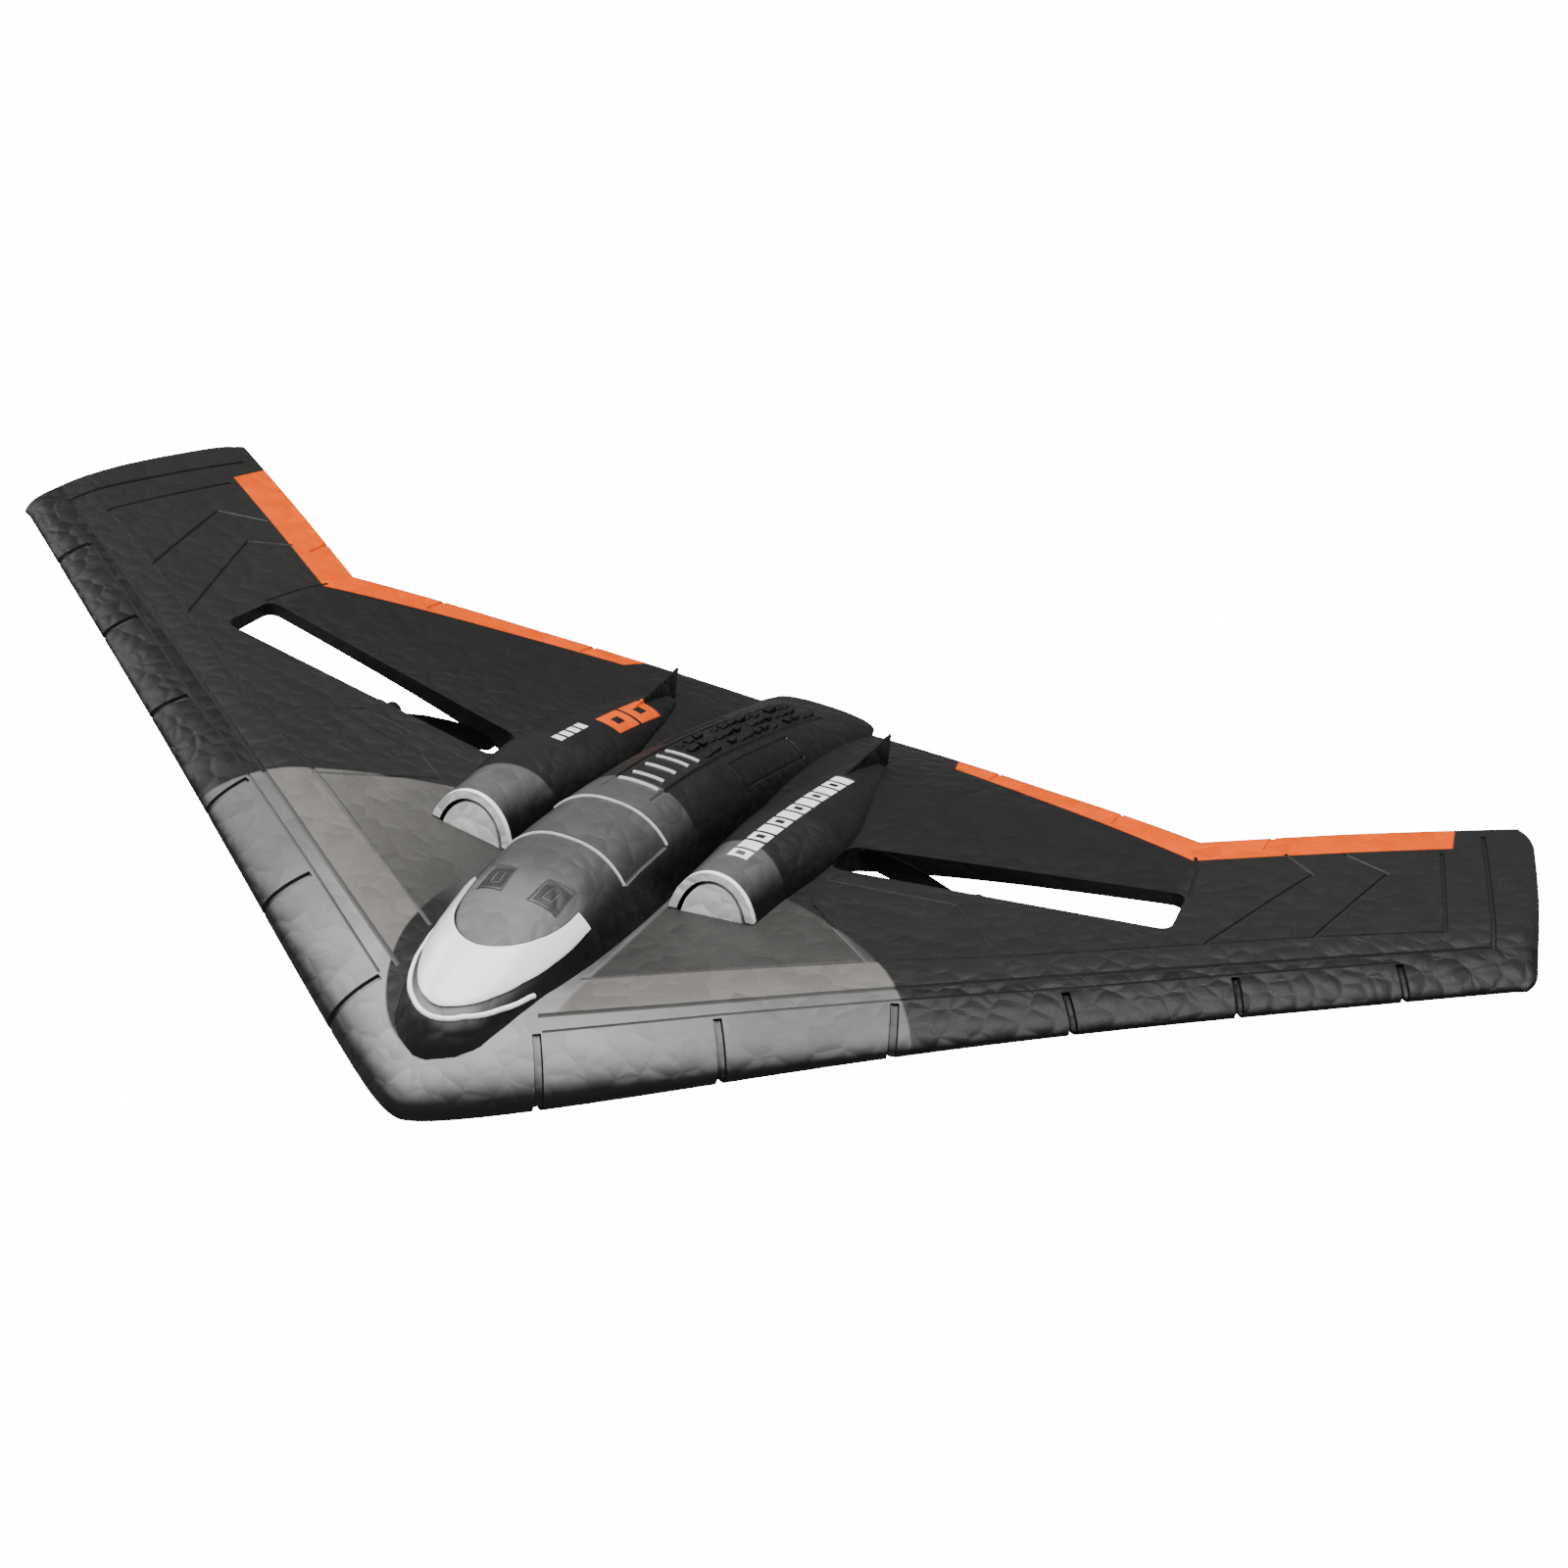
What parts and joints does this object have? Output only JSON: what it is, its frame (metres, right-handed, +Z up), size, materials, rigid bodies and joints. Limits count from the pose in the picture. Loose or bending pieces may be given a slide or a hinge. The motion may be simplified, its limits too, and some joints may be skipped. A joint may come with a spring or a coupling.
{
  "type": "rc flying wing",
  "caption": "Small radio-controlled foam flying wing with a rounded spine, engine humps, a propeller in a slot in each wing and a belly pod.",
  "frame": {"origin": "under the middle of the aircraft's length and span, on the flat bottom of the belly pod", "axes": "+X along the span to the aircraft's left wing tip, nose towards -Y, +Z up"},
  "size_m": [0.3484, 0.189, 0.0464],
  "materials": {
    "foam": "moulded bead foam, satin",
    "white_film": "gloss",
    "black_abs": "fine moulded texture",
    "grey_abs": "moulded",
    "black_nylon": "moulded",
    "steel": "plated",
    "magnet": "nickel plated",
    "copper": "enamelled copper winding",
    "board": "solder mask",
    "chip_resin": "moulded resin",
    "cell_wrap": "laminated foil pouch",
    "wire_sleeve": "smooth",
    "plug_nylon": "moulded",
    "led_resin": "clear"
  },
  "bodies": {
    "airframe": {"foam_airframe": "foam", "windshield_panel": "white_film", "pod_shell": "black_abs", "pod_lid": "black_abs", "pod_screw_1": "steel", "pod_screw_2": "steel", "pod_screw_3": "steel", "pod_screw_4": "steel", "battery_cell": "cell_wrap", "battery_lead": "wire_sleeve", "battery_plug": "plug_nylon", "battery_socket": "plug_nylon", "receiver_board": "board", "radio_chip": "chip_resin", "gyro_chip": "chip_resin", "status_led": "led_resin", "antenna_wire": "wire_sleeve", "switch_body": "steel", "motor_sleeve_left": "black_abs", "motor_can_left": "steel", "motor_magnet_left": "magnet", "motor_end_cap_left": "black_abs", "motor_lead_left": "wire_sleeve", "motor_sleeve_right": "black_abs", "motor_can_right": "steel", "motor_magnet_right": "magnet", "motor_end_cap_right": "black_abs", "motor_lead_right": "wire_sleeve"},
    "propeller_left": {"propeller_left": "black_nylon", "motor_rotor_left": "copper"},
    "propeller_right": {"propeller_right": "black_nylon", "motor_rotor_right": "copper"},
    "battery_door": {"battery_door": "black_abs"},
    "switch_knob": {"switch_knob": "grey_abs"}
  },
  "joints": [
    {"name": "propeller_spin_left", "type": "hinge", "parent": "airframe", "child": "propeller_left", "pos_m": [0.068, 0.0104, 0.028], "axis": [0, 1, 0], "continuous": true},
    {"name": "propeller_spin_right", "type": "hinge", "parent": "airframe", "child": "propeller_right", "pos_m": [-0.068, 0.0104, 0.028], "axis": [0, 1, 0], "continuous": true},
    {"name": "battery_door_slide", "type": "slide", "parent": "airframe", "child": "battery_door", "axis": [0, 1, 0], "range_m": [0, 0.042]},
    {"name": "switch_slide", "type": "slide", "parent": "airframe", "child": "switch_knob", "axis": [0, 1, 0], "range_m": [0, 0.003]}
  ]
}
